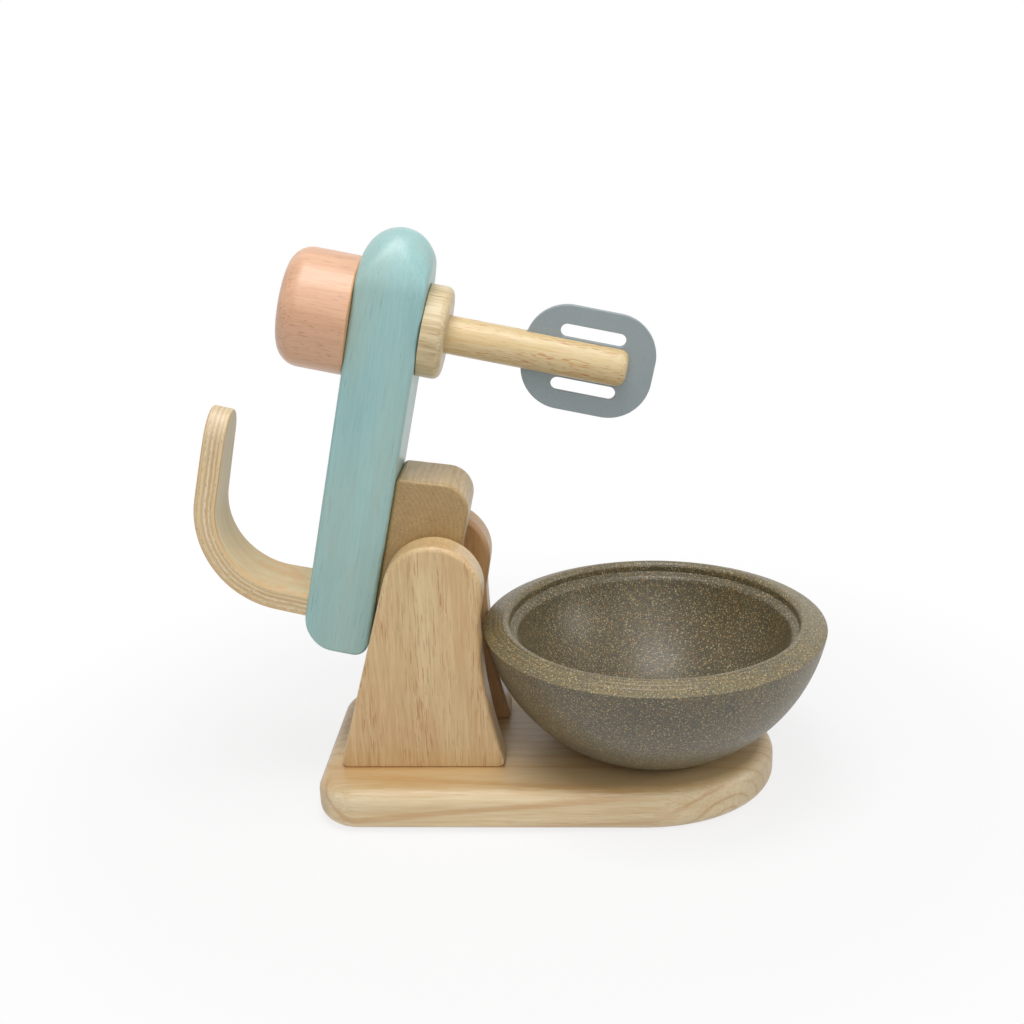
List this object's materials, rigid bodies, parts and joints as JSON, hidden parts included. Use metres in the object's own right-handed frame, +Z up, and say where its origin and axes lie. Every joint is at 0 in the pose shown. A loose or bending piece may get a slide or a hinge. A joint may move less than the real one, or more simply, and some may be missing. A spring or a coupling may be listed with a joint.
{
  "type": "toy stand mixer",
  "caption": "Wooden toy stand mixer: a head with a bent plywood handle tips back on two uprights, a knob turns a dowel with a slotted paddle, and a loose bowl stands on the board.",
  "frame": {"origin": "centre of the base board's underside, on the surface that the toy stands on", "axes": "+X along the base board towards the bowl's end, +Y to the back of the toy as pictured, +Z up"},
  "size_m": [0.2726, 0.1506, 0.2482],
  "materials": {
    "board_wood": "rubberwood, clear satin lacquer",
    "upright_wood": "rubberwood, clear satin lacquer",
    "dowel_wood": "rubberwood dowel, clear satin lacquer",
    "block_wood": "rubberwood end grain, clear satin lacquer",
    "collar_wood": "rubberwood, turned, clear satin lacquer",
    "bent_plywood": "bent plywood, clear satin lacquer",
    "head_paint": "rubberwood under a thin blue-green stain that shows the grain, satin",
    "knob_paint": "rubberwood under a thin peach stain that shows the grain, satin",
    "bowl_composite": "pressed wood composite, dark grey-green with fine pale specks, satin",
    "paddle_plastic": "grey, matt",
    "washer_fibre": "black, matt",
    "screw_steel": "zinc-plated",
    "pin_steel": "ground"
  },
  "bodies": {
    "stand": {"base_board": "board_wood", "upright_front": "upright_wood", "upright_rear": "upright_wood", "upright_dowels": "dowel_wood", "upright_screws": "screw_steel", "base_plugs": "board_wood", "stop_dowel": "dowel_wood", "hinge_pin": "pin_steel"},
    "head": {"hinge_block": "block_wood", "block_dowels": "dowel_wood", "head_beam": "head_paint", "handle": "bent_plywood", "handle_screws": "screw_steel", "handle_plugs": "head_paint", "knob_washer": "washer_fibre", "collar_washer": "washer_fibre"},
    "beater": {"knob": "knob_paint", "beater_shaft": "dowel_wood", "collar": "collar_wood", "paddle": "paddle_plastic"},
    "bowl": {"bowl": "bowl_composite"}
  },
  "joints": [
    {"name": "head_tilt", "type": "hinge", "parent": "stand", "child": "head", "pos_m": [-0.047, 0, 0.101], "axis": [0, 1, 0], "range_deg": [0, 77.63]},
    {"name": "beater_spin", "type": "hinge", "parent": "head", "child": "beater", "pos_m": [-0.04428, 0, 0.20677], "axis": [0.9768, 0, -0.2142], "continuous": true},
    {"name": "bowl_lift", "type": "slide", "parent": "stand", "child": "bowl", "axis": [0.7071, 0, 0.7071], "range_m": [0, 0.22]}
  ]
}
